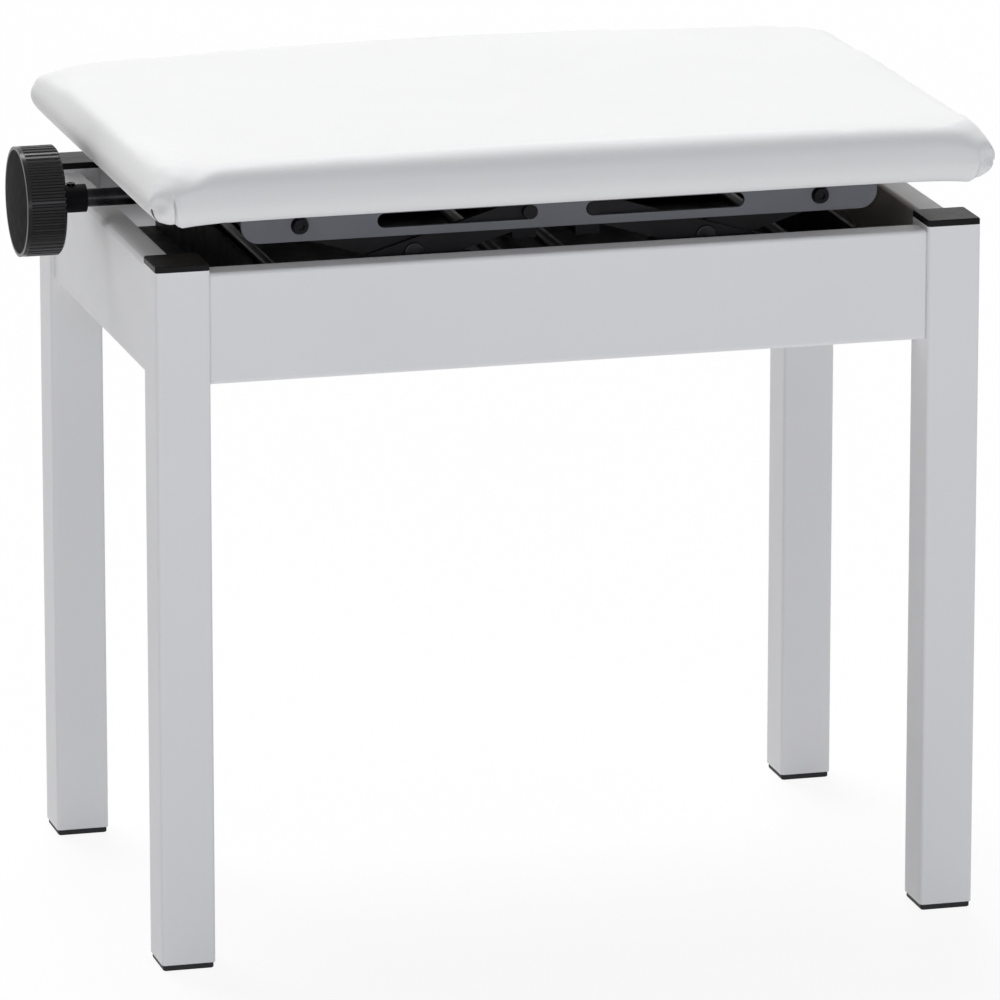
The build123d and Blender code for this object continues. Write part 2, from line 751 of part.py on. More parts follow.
def cushion(inset, floor_z):
    with BuildPart() as form:
        for z, end_draw, side_draw, corner in seat_outline:
            with BuildSketch(seat_level(z)):
                wide = seat_width - 2 * (end_draw + inset)
                deep = seat_depth - 2 * (side_draw + inset)
                RectangleRounded(wide, deep, corner - inset)
        loft()
        with Locations((seat_x, 0, crown_z - inset - seat_crown_radius)):
            Sphere(seat_crown_radius, mode=Mode.INTERSECT)
        fillet(form.faces().sort_by(Axis.Z)[-1].edges(), seat_shoulder - inset)
        if floor_z > seat_z:
            split(bisect_by=seat_level(floor_z), keep=Keep.TOP)
    return form.part


wood_screw_depth = board_thickness - wood_screw_cover
board_width = seat_width - 2 * (seat_draw + cover_thickness + foam_gap + foam_skirt)
board_depth = seat_depth - 2 * (seat_draw + cover_thickness + foam_gap + foam_skirt)
with BuildPart() as seat_board:
    with BuildSketch(seat_level(board_z)):
        RectangleRounded(board_width, board_depth, board_corner)
    extrude(amount=board_thickness)
    with BuildSketch(level(board_z)):
        with Locations(*wood_screw_spots):
            Circle(wood_screw_size / 2 + pin_clearance)
    extrude(amount=wood_screw_depth, mode=Mode.SUBTRACT)
save(seat_board, "seat_board")

with BuildPart() as seat_foam:
    add(cushion(cover_thickness + foam_gap, board_z))
    with BuildSketch(seat_level(board_z)):
        RectangleRounded(board_width, board_depth, board_corner)
    extrude(amount=board_thickness, mode=Mode.SUBTRACT)
save(seat_foam, "seat_foam")

cover_flap = seat_depth / 2 - seat_draw - upper_face - flap_gap
flap_width = seat_width - 2 * (seat_draw + cover_flap)
flap_depth = seat_depth - 2 * (seat_draw + cover_flap)
with BuildPart() as seat_cover:
    add(cushion(0, seat_z))
    add(cushion(cover_thickness, board_z), mode=Mode.SUBTRACT)
    with BuildSketch(seat_level(seat_z)):
        Rectangle(flap_width, flap_depth)
    extrude(amount=cover_thickness, mode=Mode.SUBTRACT)
save(seat_cover, "seat_cover")

# Fastenings of the seat: wood screws through the upper frame, staples through the flap
with BuildPart() as wood_screws:
    with BuildSketch(level(board_z - sheet)):
        with Locations(*wood_screw_spots):
            Circle(wood_screw_head / 2)
    extrude(amount=-wood_screw_head_height, taper=wood_screw_head_taper)
    with BuildSketch(level(board_z - sheet)):
        with Locations(*wood_screw_spots):
            Circle(wood_screw_size / 2)
    extrude(amount=sheet + wood_screw_depth - layer_gap)
save(wood_screws, "wood_screws")

staple_x = flap_width / 2 + cover_flap / 2
staple_y = flap_depth / 2 + cover_flap / 2
along_count = int(2 * staple_x / staple_spacing)
across_count = int(2 * staple_y / staple_spacing)
upward = (Align.CENTER, Align.CENTER, Align.MIN)
with BuildPart() as staples:
    for along in sides.values():
        with Locations((seat_x, along * staple_y, seat_z - staple_wire / 2)):
            with GridLocations(staple_spacing, 0, along_count, 1):
                Box(staple_width, staple_wire, staple_wire)
                with GridLocations(staple_width - staple_wire, 0, 2, 1):
                    Box(staple_wire, staple_wire, staple_leg, align=upward)
    for across in ends.values():
        with Locations((seat_x + across * staple_x, 0, seat_z - staple_wire / 2)):
            with GridLocations(0, staple_spacing, 1, across_count):
                Box(staple_wire, staple_width, staple_wire)
                with GridLocations(0, staple_width - staple_wire, 1, 2):
                    Box(staple_wire, staple_wire, staple_leg, align=upward)
save(staples, "staples")
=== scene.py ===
import bpy
import bmesh
import json
import math
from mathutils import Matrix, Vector, noise


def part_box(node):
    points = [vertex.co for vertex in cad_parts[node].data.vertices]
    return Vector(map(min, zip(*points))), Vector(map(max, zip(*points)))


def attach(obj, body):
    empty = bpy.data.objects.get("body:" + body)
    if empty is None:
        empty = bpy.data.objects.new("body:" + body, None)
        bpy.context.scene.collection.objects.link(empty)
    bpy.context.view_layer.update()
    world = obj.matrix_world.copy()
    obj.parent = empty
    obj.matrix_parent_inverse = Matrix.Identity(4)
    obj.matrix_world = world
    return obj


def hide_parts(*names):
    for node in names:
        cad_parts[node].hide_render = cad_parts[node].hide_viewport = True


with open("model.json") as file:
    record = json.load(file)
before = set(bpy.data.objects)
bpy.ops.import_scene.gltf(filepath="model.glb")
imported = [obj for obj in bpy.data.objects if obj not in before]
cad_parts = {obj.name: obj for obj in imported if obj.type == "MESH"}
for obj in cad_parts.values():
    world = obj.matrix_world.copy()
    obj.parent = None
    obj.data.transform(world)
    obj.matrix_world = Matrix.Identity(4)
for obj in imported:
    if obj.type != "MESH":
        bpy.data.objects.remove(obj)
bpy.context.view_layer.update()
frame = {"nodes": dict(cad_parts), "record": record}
nodes = frame["nodes"]
scene = bpy.context.scene
print("frame loaded,", len(nodes), "CAD nodes")


# small helpers used by every piece
mixing = {
    "noiseSpan": (0.25, 0.75),   # where most values of a noise texture lie
    "rampSpan": (0.3, 0.7),      # where a two-tone ramp starts and ends
}


def addNode(tree, kind, settings=None, inputs=None):
    node = tree.nodes.new(kind)
    for key, value in (settings or {}).items():
        setattr(node, key, value)
    for key, value in (inputs or {}).items():
        if isinstance(value, bpy.types.NodeSocket):
            tree.links.new(value, node.inputs[key])
        else:
            node.inputs[key].default_value = value
    return node


def startMaterial(name):
    material = bpy.data.materials.new(name)
    material.use_nodes = True
    tree = material.node_tree
    place = addNode(tree, "ShaderNodeTexCoord").outputs["Object"]
    return material, tree, tree.nodes["Principled BSDF"], place


def noiseAt(tree, place, scale, detail=2.0, roughness=0.5):
    return addNode(tree, "ShaderNodeTexNoise", inputs={
        "Vector": place, "Scale": scale, "Detail": detail, "Roughness": roughness}).outputs["Fac"]


def spread(tree, value, low, high):  # a 0..1 value to a range of numbers
    first, last = mixing["noiseSpan"]
    return addNode(tree, "ShaderNodeMapRange", inputs={
        "Value": value, "From Min": first, "From Max": last, "To Min": low, "To Max": high}).outputs["Result"]


def twoTone(tree, value, dark, light):
    ramp = addNode(tree, "ShaderNodeValToRGB", inputs={"Fac": value})
    for element, position, colour in zip(ramp.color_ramp.elements, mixing["rampSpan"], (dark, light)):
        element.position = position
        element.color = (*colour, 1.0)
    return ramp.outputs["Color"]


def stretchedAt(tree, place, scale):
    return addNode(tree, "ShaderNodeMapping", inputs={"Vector": place, "Scale": scale}).outputs["Vector"]


def bumpFrom(tree, height, strength, distance, below=None):
    inputs = {"Height": height, "Strength": strength, "Distance": distance}
    if below is not None:
        inputs["Normal"] = below
    return addNode(tree, "ShaderNodeBump", inputs=inputs).outputs["Normal"]


def finishPiece(bm, name, body, material, smooth=True):
    mesh = bpy.data.meshes.new(name)
    bm.to_mesh(mesh)
    bm.free()
    for face in mesh.polygons:
        face.use_smooth = smooth
    piece = bpy.data.objects.new(name, mesh)
    scene.collection.objects.link(piece)
    mesh.materials.append(material)
    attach(piece, body)
    return piece


# camera, at the photograph's viewing angle
cameraSet = {
    "place": (-1.27226, -4.77304, 1.5010),
    "tilt": math.pi / 2 - 0.2534,
    "turn": -0.2640,
    "lens": 316.69,
    "sensor": 36.0,
    "reach": 200.0,
}


def makeCamera(c):
    data = bpy.data.cameras.new("viewCamera")
    data.lens = c["lens"]
    data.sensor_width = c["sensor"]
    data.clip_end = c["reach"]
    camera = bpy.data.objects.new("viewCamera", data)
    camera.location = c["place"]
    camera.rotation_euler = (c["tilt"], 0.0, c["turn"])
    scene.collection.objects.link(camera)
    scene.camera = camera


makeCamera(cameraSet)
print("camera set")


# studio: pale floor, soft light from above, white all round
studio = {
    "fill": 0.24,              # world light that falls on the object
    "fillColour": (0.97, 0.98, 1.0),
    "lamps": {                 # power, colour, spread, tilt from straight down and turn in degrees
        "topLamp": (2.66, (1.0, 1.0, 1.0), 30.0, -31.0, 4.0),
        "frontLamp": (0.85, (0.90, 0.92, 1.0), 22.0, 88.0, 0.0),
    },
    "floorColour": (0.57, 0.57, 0.57),
    "floorGlow": 1.073,        # brings the open floor up to white
    "tableShare": 0.35,        # the floor is lit from below by this share
    "floorHalf": 40.0,
    "shadowHold": 0.15,        # how much of the shadow the camera sees
}


def seenDirectly(tree):  # 1 for what is seen directly, in gloss or through glass
    path = addNode(tree, "ShaderNodeLightPath")
    first = addNode(tree, "ShaderNodeMath", {"operation": "MAXIMUM"}, {
        0: path.outputs["Is Camera Ray"], 1: path.outputs["Is Glossy Ray"]})
    return addNode(tree, "ShaderNodeMath", {"operation": "MAXIMUM"}, {
        0: first.outputs[0], 1: path.outputs["Is Transmission Ray"]}).outputs[0]


def makeStudio(s):
    scene.view_settings.view_transform = "Standard"
    world = bpy.data.worlds.new("studioWorld")
    scene.world = world
    world.use_nodes = True
    tree = world.node_tree
    tree.nodes.clear()
    fill = addNode(tree, "ShaderNodeBackground", inputs={
        "Color": (*s["fillColour"], 1.0), "Strength": s["fill"]})
    white = addNode(tree, "ShaderNodeBackground", inputs={"Color": (1.0, 1.0, 1.0, 1.0), "Strength": 1.0})
    both = addNode(tree, "ShaderNodeMixShader", inputs={
        0: seenDirectly(tree), 1: fill.outputs[0], 2: white.outputs[0]})
    addNode(tree, "ShaderNodeOutputWorld", inputs={"Surface": both.outputs[0]})

    for name, (power, colour, spreadAngle, tilt, turn) in s["lamps"].items():
        lamp = bpy.data.lights.new(name, "SUN")
        lamp.energy = power
        lamp.color = colour
        lamp.angle = math.radians(spreadAngle)
        stand = bpy.data.objects.new(name, lamp)
        stand.rotation_euler = (math.radians(tilt), 0.0, math.radians(turn))
        scene.collection.objects.link(stand)

    bm = bmesh.new()
    bmesh.ops.create_grid(bm, x_segments=2, y_segments=2, size=s["floorHalf"])
    mesh = bpy.data.meshes.new("studioFloor")
    bm.to_mesh(mesh)
    bm.free()
    floor = bpy.data.objects.new("studioFloor", mesh)
    scene.collection.objects.link(floor)
    material = bpy.data.materials.new("floorPaper")
    material.use_nodes = True
    tree = material.node_tree
    tree.nodes.clear()
    paper = addNode(tree, "ShaderNodeBsdfDiffuse", inputs={"Color": (*s["floorColour"], 1.0)})
    glow = addNode(tree, "ShaderNodeEmission", inputs={
        "Color": (1.0, 1.0, 1.0, 1.0), "Strength": s["floorGlow"]})
    seen = addNode(tree, "ShaderNodeMath", {"operation": "MULTIPLY"}, {
        0: seenDirectly(tree), 1: 1.0 - s["shadowHold"]})
    share = addNode(tree, "ShaderNodeMath", {"operation": "MAXIMUM"}, {
        0: seen.outputs[0], 1: s["tableShare"]})
    both = addNode(tree, "ShaderNodeMixShader", inputs={
        0: share.outputs[0], 1: paper.outputs[0], 2: glow.outputs[0]})
    addNode(tree, "ShaderNodeOutputMaterial", inputs={"Surface": both.outputs[0]})
    mesh.materials.append(material)


makeStudio(studio)
print("studio lit")


# finishes, one for each material slot of the record
frameEnamel = {
    "colour": (0.890, 0.890, 0.902),
    "shade": (0.874, 0.874, 0.887),
    "gloss": (0.40, 0.50),
    "driftScale": 9.0,       # slow drift of the tone
    "glossScale": 55.0,
    "peelScale": 620.0,      # orange peel, cells per metre
    "peelDepth": 0.00003,
    "peelStrength": 0.5,
}


def makeFrameEnamel(c):
    material, tree, shader, place = startMaterial("frameEnamel")
    drift = noiseAt(tree, place, c["driftScale"], detail=3.0)
    sheen = noiseAt(tree, place, c["glossScale"], detail=3.0)
    peel = noiseAt(tree, place, c["peelScale"], detail=2.0, roughness=0.4)
    tree.links.new(twoTone(tree, drift, c["shade"], c["colour"]), shader.inputs["Base Color"])
    tree.links.new(spread(tree, sheen, *c["gloss"]), shader.inputs["Roughness"])
    tree.links.new(bumpFrom(tree, peel, c["peelStrength"], c["peelDepth"]), shader.inputs["Normal"])
    return material


mouldedBlack = {
    "cap": {"colour": (0.020, 0.020, 0.021), "shade": (0.016, 0.016, 0.017), "gloss": (0.20, 0.28),
            "shine": 0.03, "grainScale": 1500.0, "grainDepth": 0.00002},
    "foot": {"colour": (0.018, 0.019, 0.021), "shade": (0.014, 0.015, 0.016), "gloss": (0.50, 0.62),
             "shine": 0.22, "grainScale": 1200.0, "grainDepth": 0.00004},
    "knob": {"colour": (0.009, 0.009, 0.010), "shade": (0.006, 0.006, 0.007), "gloss": (0.62, 0.74),
             "shine": 0.045, "grainScale": 1700.0, "grainDepth": 0.00003},
    "all": {"mottleScale": 40.0, "glossScale": 150.0, "grainStrength": 0.45},
}
knobRim = {"gloss": 0.20, "shine": 0.22, "starts": 0.93, "full": 0.95}   # shares of the knob's radius


def makeMouldedBlack(name, kind):
    c, shared = mouldedBlack[kind], mouldedBlack["all"]
    material, tree, shader, place = startMaterial(name)
    grain = noiseAt(tree, place, c["grainScale"], detail=2.0, roughness=0.6)
    mottle = noiseAt(tree, place, shared["mottleScale"], detail=3.0)
    sheen = noiseAt(tree, place, shared["glossScale"], detail=3.0)
    shader.inputs["Specular IOR Level"].default_value = c["shine"]
    tree.links.new(twoTone(tree, mottle, c["shade"], c["colour"]), shader.inputs["Base Color"])
    tree.links.new(spread(tree, sheen, *c["gloss"]), shader.inputs["Roughness"])
    tree.links.new(bumpFrom(tree, grain, shared["grainStrength"], c["grainDepth"]), shader.inputs["Normal"])
    return material


def polishRim(material, c, low, high):  # the ribbed rim of the knob is glossier than its face
    tree = material.node_tree
    shader = tree.nodes["Principled BSDF"]
    place = addNode(tree, "ShaderNodeTexCoord").outputs["Object"]
    out = addNode(tree, "ShaderNodeVectorMath", {"operation": "SUBTRACT"}, {0: place, 1: (low + high) / 2})
    flat = addNode(tree, "ShaderNodeVectorMath", {"operation": "MULTIPLY"}, {
        0: out.outputs[0], 1: (0.0, 1.0, 1.0)})   # across the knob's axis
    away = addNode(tree, "ShaderNodeVectorMath", {"operation": "LENGTH"}, {0: flat.outputs[0]})
    radius = (high.z - low.z) / 2
    rim = addNode(tree, "ShaderNodeMapRange", inputs={
        "Value": away.outputs["Value"], "From Min": c["starts"] * radius, "From Max": c["full"] * radius})
    matte = shader.inputs["Roughness"].links[0].from_socket
    dull = shader.inputs["Specular IOR Level"].default_value
    gloss = addNode(tree, "ShaderNodeMix", inputs={0: rim.outputs["Result"], 2: matte, 3: c["gloss"]})
    shine = addNode(tree, "ShaderNodeMix", inputs={0: rim.outputs["Result"], 2: dull, 3: c["shine"]})
    tree.links.new(gloss.outputs[0], shader.inputs["Roughness"])
    tree.links.new(shine.outputs[0], shader.inputs["Specular IOR Level"])


liftEnamel = {
    "plate": {"colour": (0.112, 0.116, 0.134), "shade": (0.094, 0.097, 0.112), "gloss": (0.34, 0.46),
              "shine": 0.5, "peelScale": 700.0, "peelDepth": 0.00004},
    # arms: near-black, far darker than the plates' grey; partly their own dark paint, partly painted shade
    # for the deep shadow under the flange
    "arm": {"colour": (0.011, 0.011, 0.012), "shade": (0.007, 0.007, 0.008), "gloss": (0.40, 0.55),
            "shine": 0.12, "peelScale": 700.0, "peelDepth": 0.00004},
    "all": {"mottleScale": 26.0, "glossScale": 90.0, "peelStrength": 0.5},
}


def makeLiftEnamel(name, kind):
    c, shared = liftEnamel[kind], liftEnamel["all"]
    material, tree, shader, place = startMaterial(name)
    peel = noiseAt(tree, place, c["peelScale"], detail=3.0, roughness=0.55)
    mottle = noiseAt(tree, place, shared["mottleScale"], detail=4.0)
    sheen = noiseAt(tree, place, shared["glossScale"], detail=4.0)
    shader.inputs["Specular IOR Level"].default_value = c["shine"]
    tree.links.new(twoTone(tree, mottle, c["shade"], c["colour"]), shader.inputs["Base Color"])
    tree.links.new(spread(tree, sheen, *c["gloss"]), shader.inputs["Roughness"])
    tree.links.new(bumpFrom(tree, peel, shared["peelStrength"], c["peelDepth"]), shader.inputs["Normal"])
    return material


turnedSteel = {
    "pin": {"colour": (0.030, 0.030, 0.033), "shade": (0.014, 0.014, 0.016), "gloss": (0.28, 0.42)},
    "fastener": {"colour": (0.016, 0.016, 0.018), "shade": (0.008, 0.008, 0.009), "gloss": (0.16, 0.26)},
    "screw": {"colour": (0.050, 0.050, 0.054), "shade": (0.026, 0.026, 0.028), "gloss": (0.22, 0.36)},
    "lineScale": (60.0, 2600.0, 2600.0),   # fine lines along bars that lie along X
    "lineStrength": 0.3,
    "lineDepth": 0.00002,
    "mottleScale": 120.0,
}


def makeTurnedSteel(name, c, lines):
    material, tree, shader, place = startMaterial(name)
    line = noiseAt(tree, stretchedAt(tree, place, lines), 1.0, detail=2.0)
    mottle = noiseAt(tree, place, turnedSteel["mottleScale"], detail=4.0)
    shader.inputs["Metallic"].default_value = 1.0
    tree.links.new(twoTone(tree, mottle, c["shade"], c["colour"]), shader.inputs["Base Color"])
    tree.links.new(spread(tree, mottle, *c["gloss"]), shader.inputs["Roughness"])
    tree.links.new(bumpFrom(tree, line, turnedSteel["lineStrength"], turnedSteel["lineDepth"]),
                   shader.inputs["Normal"])
    return material


nutBrass = {"colour": (0.66, 0.47, 0.19), "shade": (0.50, 0.34, 0.13), "gloss": (0.26, 0.42)}
bushNylon = {
    "colour": (0.76, 0.74, 0.66),
    "shade": (0.70, 0.68, 0.60),
    "gloss": (0.45, 0.60),
    "mottleScale": 180.0,
    "glossScale": 300.0,
    "grainScale": 1400.0,
    "grainStrength": 0.3,
    "grainDepth": 0.00003,
    "glow": 0.1,
    "glowReach": (0.002, 0.0018, 0.0014),
}


def makeBushNylon(c):
    material, tree, shader, place = startMaterial("bushNylon")
    mottle = noiseAt(tree, place, c["mottleScale"], detail=3.0)
    sheen = noiseAt(tree, place, c["glossScale"], detail=2.0)
    grain = noiseAt(tree, place, c["grainScale"])
    tree.links.new(twoTone(tree, mottle, c["shade"], c["colour"]), shader.inputs["Base Color"])
    tree.links.new(spread(tree, sheen, *c["gloss"]), shader.inputs["Roughness"])
    tree.links.new(bumpFrom(tree, grain, c["grainStrength"], c["grainDepth"]), shader.inputs["Normal"])
    shader.inputs["Subsurface Weight"].default_value = c["glow"]
    shader.inputs["Subsurface Radius"].default_value = c["glowReach"]
    return material


boardVeneer = {
    "early": (0.56, 0.41, 0.25),
    "late": (0.40, 0.27, 0.15),
    "ringStretch": (1.2, 9.0, 3.0),
    "ringScale": 1.6,
    "ringBend": 5.0,
    "ringDetail": 3.0,
    "ringDetailScale": 1.4,
    "ringShare": 0.45,
    "fibreScale": (18.0, 900.0, 900.0),
    "fibreShare": 0.55,
    "fibreStrength": 0.5,
    "fibreDepth": 0.0001,
    "gloss": (0.55, 0.72),
}


def makeBoardVeneer(c):
    material, tree, shader, place = startMaterial("boardVeneer")
    ring = addNode(tree, "ShaderNodeTexWave", {"wave_type": "BANDS", "bands_direction": "Y"}, {
        "Vector": stretchedAt(tree, place, c["ringStretch"]), "Scale": c["ringScale"],
        "Distortion": c["ringBend"], "Detail": c["ringDetail"],
        "Detail Scale": c["ringDetailScale"]}).outputs["Fac"]
    fibre = noiseAt(tree, stretchedAt(tree, place, c["fibreScale"]), 1.0, detail=3.0, roughness=0.6)
    rings = addNode(tree, "ShaderNodeMath", {"operation": "MULTIPLY"}, {0: ring, 1: c["ringShare"]})
    mixed = addNode(tree, "ShaderNodeMath", {"operation": "MULTIPLY_ADD"}, {
        0: fibre, 1: c["fibreShare"], 2: rings.outputs[0]})
    tree.links.new(twoTone(tree, mixed.outputs[0], c["late"], c["early"]), shader.inputs["Base Color"])
    tree.links.new(spread(tree, fibre, *c["gloss"]), shader.inputs["Roughness"])
    tree.links.new(bumpFrom(tree, fibre, c["fibreStrength"], c["fibreDepth"]), shader.inputs["Normal"])
    return material


seatVinyl = {
    "colour": (0.900, 0.900, 0.901),
    "shade": (0.886, 0.886, 0.888),
    "gloss": (0.52, 0.62),
    "shine": 0.22,
    "glossScale": 60.0,
    "patchScale": 14.0,       # slow drift of the tone
    "grainScale": 760.0,      # pebbles of the grain, per metre
    "grainStrength": 0.4,
    "grainDepth": 0.00008,
    "grainEdge": 0.22,        # softness of the valleys between pebbles
    "wobbleScale": 240.0,     # bends the rows of pebbles
    "wobble": (0.0012, 0.0012, 0.0012),
    "poreScale": 2400.0,
    "poreStrength": 0.25,
    "poreDepth": 0.00003,
}


def makeSeatVinyl(c):
    material, tree, shader, place = startMaterial("seatVinyl")
    drift = addNode(tree, "ShaderNodeTexNoise", inputs={"Vector": place, "Scale": c["wobbleScale"]})
    wobble = addNode(tree, "ShaderNodeVectorMath", {"operation": "MULTIPLY_ADD"}, {
        0: drift.outputs["Color"], 1: c["wobble"], 2: place})
    pebble = addNode(tree, "ShaderNodeTexVoronoi", {"feature": "DISTANCE_TO_EDGE"}, {
        "Vector": wobble.outputs[0], "Scale": c["grainScale"]}).outputs["Distance"]
    pebble = addNode(tree, "ShaderNodeMapRange", {"interpolation_type": "SMOOTHSTEP"}, {
        "Value": pebble, "From Min": 0.0, "From Max": c["grainEdge"]}).outputs["Result"]
    pore = noiseAt(tree, place, c["poreScale"], detail=2.0)
    patch = noiseAt(tree, place, c["patchScale"], detail=3.0)
    sheen = noiseAt(tree, place, c["glossScale"], detail=4.0)
    shader.inputs["Specular IOR Level"].default_value = c["shine"]
    tree.links.new(twoTone(tree, patch, c["shade"], c["colour"]), shader.inputs["Base Color"])
    tree.links.new(spread(tree, sheen, *c["gloss"]), shader.inputs["Roughness"])
    fine = bumpFrom(tree, pore, c["poreStrength"], c["poreDepth"])
    coarse = bumpFrom(tree, pebble, c["grainStrength"], c["grainDepth"], fine)
    tree.links.new(coarse, shader.inputs["Normal"])
    return material


padFoam = {
    "colour": (0.84, 0.78, 0.56),
    "shade": (0.78, 0.71, 0.48),
    "gloss": (0.85, 0.95),
    "cellScale": 1100.0,      # cells of the foam, per metre
    "cellStrength": 0.7,
    "cellDepth": 0.0004,
}


def makePadFoam(c):
    material, tree, shader, place = startMaterial("padFoam")
    cell = addNode(tree, "ShaderNodeTexVoronoi", inputs={
        "Vector": place, "Scale": c["cellScale"]}).outputs["Distance"]
    tree.links.new(twoTone(tree, cell, c["shade"], c["colour"]), shader.inputs["Base Color"])
    tree.links.new(spread(tree, cell, *c["gloss"]), shader.inputs["Roughness"])
    tree.links.new(bumpFrom(tree, cell, c["cellStrength"], c["cellDepth"]), shader.inputs["Normal"])
    return material


def makeFinishes():
    lines = turnedSteel["lineScale"]
    return {
        "frame_paint": makeFrameEnamel(frameEnamel),
        "cap_plastic": makeMouldedBlack("capPlastic", "cap"),
        "foot_plastic": makeMouldedBlack("footPlastic", "foot"),
        "knob_plastic": makeMouldedBlack("knobPlastic", "knob"),
        "lift_paint": makeLiftEnamel("plateEnamel", "plate"),
        # arm finish: near-black, partly own paint and partly painted shade
        "arm_paint": makeLiftEnamel("armEnamelPaintedShade", "arm"),
        "pin_steel": makeTurnedSteel("pinSteel", turnedSteel["pin"], (lines[1], lines[0], lines[2])),
        "fastener_steel": makeTurnedSteel("fastenerSteel", turnedSteel["fastener"], lines),
        "screw_steel": makeTurnedSteel("screwSteel", turnedSteel["screw"], lines),
        "nut_brass": makeTurnedSteel("nutBrass", nutBrass, lines),
        "bush_nylon": makeBushNylon(bushNylon),
        "seat_plywood": makeBoardVeneer(boardVeneer),
        "seat_foam": makePadFoam(padFoam),
        "seat_vinyl": makeSeatVinyl(seatVinyl),
    }


finishes = makeFinishes()
polishRim(finishes["knob_plastic"], knobRim, *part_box("knob"))
for part in frame["record"]["subparts"]:
    data = nodes[part["node"]].data
    data.materials.clear()
    data.materials.append(finishes[part["material_slot"]])
print("finishes given to the CAD nodes")


# seat pad: vinyl drawn over foam, blown up a little as cloth, then pleated at the corners
seatPad = {
    "rows": (                 # height above the lower edge, ends drawn in, sides drawn in, corner radius
        (0.0, 0.0095, 0.0095, 0.0060),
        (0.0040, 0.0036, 0.0036, 0.0080),
        (0.0125, 0.0, 0.0, 0.0135),
        (0.0205, 0.0030, 0.0008, 0.0170),
        (0.0265, 0.0062, 0.0019, 0.0250),
        (0.0315, 0.0096, 0.0062, 0.0340),
        (0.0390, 0.0170, 0.0200, 0.0360),
        (0.0450, 0.0230, 0.0320, 0.0380),
    ),
    "crownRadius": 5.0,
    "frontEase": 0.7,         # share of the crown taken out along the front edge
    "frontSpan": (0.05, 0.15),        # ahead of the middle, where that comes in
    "shoulder": 0.0022,       # softness of the edge round the top
    "flap": 0.024,            # turned under the board
    "recess": 0.008,
    "inside": 0.0012,         # the start is this much smaller than the finished pad
    "slices": 24,             # level cuts round the start
    "cornerSteps": 8,
    "voxel": 0.0042,
    "smoothing": 2,
    "evening": 3,             # passes that even out the edge round the top
    "hold": 0.85,             # how closely the blown pad keeps the drawn form
    "ripple": 0.00022,        # slow waves in the vinyl
    "rippleScale": 11.0,
    "rippleSpan": (0.012, 0.028),     # heights over which the waves come in
}


def smoothStep(value, low, high):
    t = min(max((value - low) / (high - low), 0.0), 1.0)
    return t * t * (3 - 2 * t)


def rowAt(rows, height):  # smooth curve through the rows: ends and sides drawn in, corner radius
    last = len(rows) - 1
    i = max(k for k in range(last) if k == 0 or rows[k][0] <= height)
    span = rows[i + 1][0] - rows[i][0]
    t = min(max((height - rows[i][0]) / span, 0.0), 1.0)

    def slope(k, item):
        before, after = rows[max(k - 1, 0)], rows[min(k + 1, last)]
        return (after[item] - before[item]) / (after[0] - before[0]) * span

    def blend(item):
        return ((2 * t**3 - 3 * t**2 + 1) * rows[i][item] + (t**3 - 2 * t**2 + t) * slope(i, item)
                + (3 * t**2 - 2 * t**3) * rows[i + 1][item] + (t**3 - t**2) * slope(i + 1, item))

    return blend(1), blend(2), blend(3)


def padStart(p, low, high):
    rows = p["rows"]
    middle, half = (low + high) / 2, (high - low) / 2
    corner, tall = max(row[3] for row in rows), rows[-1][0]
    bm = bmesh.new()
    bmesh.ops.create_cube(bm, size=1.0)
    bmesh.ops.scale(bm, vec=(2 * half.x, 2 * half.y, tall), verts=bm.verts[:])
    bmesh.ops.translate(bm, vec=(0, 0, tall / 2), verts=bm.verts[:])
    posts = [e for e in bm.edges if abs(e.verts[0].co.z - e.verts[1].co.z) > 0.01]
    bmesh.ops.bevel(bm, geom=posts, offset=corner, segments=p["cornerSteps"], profile=0.5, affect="EDGES",
                    material=-1)
    for step in range(1, p["slices"]):
        everything = bm.verts[:] + bm.edges[:] + bm.faces[:]
        bmesh.ops.bisect_plane(bm, geom=everything, dist=1e-6, plane_co=(0, 0, tall * step / p["slices"]),
                               plane_no=(0, 0, 1))
    for v in bm.verts:
        *draw, bend = rowAt(rows, v.co.z)
        for axis in (0, 1):
            side = math.copysign(1.0, v.co[axis])
            turn = (abs(v.co[axis]) - half[axis] + corner) / corner
            v.co[axis] = side * (half[axis] - draw[axis] - p["inside"] - bend + bend * turn)
    bmesh.ops.translate(bm, vec=(middle.x, middle.y, low.z), verts=bm.verts[:])
    under = [f for f in bm.faces if f.normal.z < -0.99]
    bmesh.ops.inset_region(bm, faces=under, thickness=p["flap"], use_even_offset=True)
    grown = bmesh.ops.extrude_face_region(bm, geom=under)["geom"]
    bmesh.ops.delete(bm, geom=under, context="FACES")
    raised = [g for g in grown if isinstance(g, bmesh.types.BMVert)]
    bmesh.ops.translate(bm, vec=(0, 0, p["recess"]), verts=raised)
    bmesh.ops.recalc_face_normals(bm, faces=bm.faces[:])
    return bm


def bakedMesh(piece):
    graph = bpy.context.evaluated_depsgraph_get()
    return bpy.data.meshes.new_from_object(piece.evaluated_get(graph))


def remeshed(bm, name, voxel):
    mesh = bpy.data.meshes.new(name)
    bm.to_mesh(mesh)
    bm.free()
    piece = bpy.data.objects.new(name, mesh)
    scene.collection.objects.link(piece)
    skin = piece.modifiers.new("skin", "REMESH")
    skin.mode = "VOXEL"
    skin.voxel_size = voxel
    piece.data = bakedMesh(piece)
    piece.modifiers.clear()
    return piece


def crownAt(p, low, high, spot):  # height of the crowned top over a spot
    out = (spot - (low + high) / 2).xy
    share = 1 - p["frontEase"] * smoothStep(-out.y, *p["frontSpan"])
    return high.z - (share * out.x**2 + out.y**2) / (2 * p["crownRadius"])


def crownPad(piece, p, low, high):
    soft = p["shoulder"]
    for v in piece.data.vertices:
        top = crownAt(p, low, high, v.co) - p["inside"]
        gap = max((top - v.co.z) / soft, -40.0)  # keeps the exponent small
        if gap < 12.0:  # far below, the top has no say
            v.co.z = top - soft * math.log(1 + math.exp(gap))


